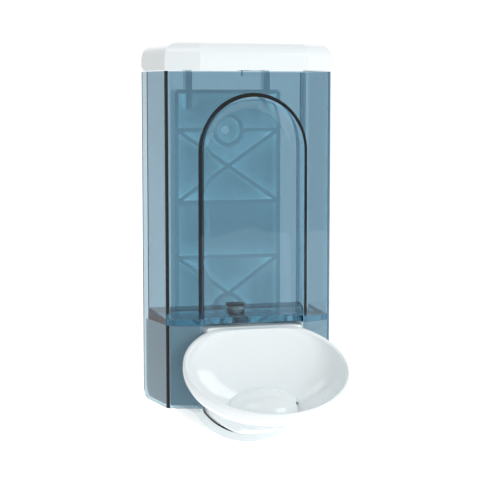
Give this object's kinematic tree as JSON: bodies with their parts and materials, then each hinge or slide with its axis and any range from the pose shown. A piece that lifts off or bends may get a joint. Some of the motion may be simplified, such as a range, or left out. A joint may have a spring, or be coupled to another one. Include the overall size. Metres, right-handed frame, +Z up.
{
  "type": "wall mounted soap dispenser",
  "caption": "Wall-mounted liquid soap dispenser: clear tinted tank with an arched niche, white hinged lid and base, and a push dish that works the pump.",
  "frame": {"origin": "on the wall's face, midway between the two wall-screw holes", "axes": "+Z up, +Y into the wall, +X to the right of a person who faces the dispenser"},
  "size_m": [0.106, 0.1049, 0.2375],
  "materials": {
    "clear_shell": "clear smoky blue moulded plastic, glossy",
    "white_gloss": "glossy white moulded plastic",
    "white_abs": "satin white moulded plastic",
    "grey_plastic": "satin grey moulded plastic",
    "pump_plastic": "natural moulded plastic",
    "steel": "bright stainless steel",
    "black_rubber": "moulded rubber",
    "black_plastic": "black moulded plastic",
    "clear_silicone": "translucent silicone"
  },
  "bodies": {
    "housing": {"tank": "clear_shell", "wall_plate": "white_abs", "base_housing": "white_gloss", "base_screws": "steel", "lever_pivot_pins": "steel", "lid_hinge_pin": "steel", "pump_cylinder": "pump_plastic", "pump_cap": "pump_plastic", "inlet_pipe": "pump_plastic", "port_gasket": "black_rubber", "port_strainer": "black_plastic", "valve_seat": "pump_plastic", "return_spring": "steel"},
    "lid": {"lid": "white_gloss"},
    "lock": {"lock_barrel": "grey_plastic", "lock_cam": "steel", "lock_screw": "steel"},
    "lever": {"push_lever": "white_gloss", "spout_hood": "white_gloss"},
    "piston": {"piston": "pump_plastic", "piston_ring": "black_rubber", "outlet_valve": "clear_silicone"},
    "ball": {"inlet_ball": "steel"}
  },
  "joints": [
    {"name": "lever_push", "type": "hinge", "parent": "housing", "child": "lever", "pos_m": [0, -0.05, -0.0646], "axis": [1, 0, 0], "range_deg": [0, 8], "stiffness_Nm_per_rad": 0.6, "springref_deg": -20.05},
    {"name": "piston_stroke", "type": "slide", "parent": "housing", "child": "piston", "axis": [0, 1, 0], "range_m": [0, 0.0063], "deforming": ["return_spring"]},
    {"name": "lid_hinge", "type": "hinge", "parent": "housing", "child": "lid", "pos_m": [0, -0.0059, 0.1015], "axis": [-1, 0, 0], "range_deg": [0, 85]},
    {"name": "lock_turn", "type": "hinge", "parent": "lid", "child": "lock", "pos_m": [0, -0.037, 0.098], "axis": [0, 0, -1], "range_deg": [0, 90]},
    {"name": "inlet_ball_lift", "type": "slide", "parent": "housing", "child": "ball", "axis": [0, 0, 1], "range_m": [0, 0.004]}
  ],
  "couplings": [
    {"joint": "piston_stroke", "follows": "lever_push", "m_per_rad": 0.0445}
  ]
}
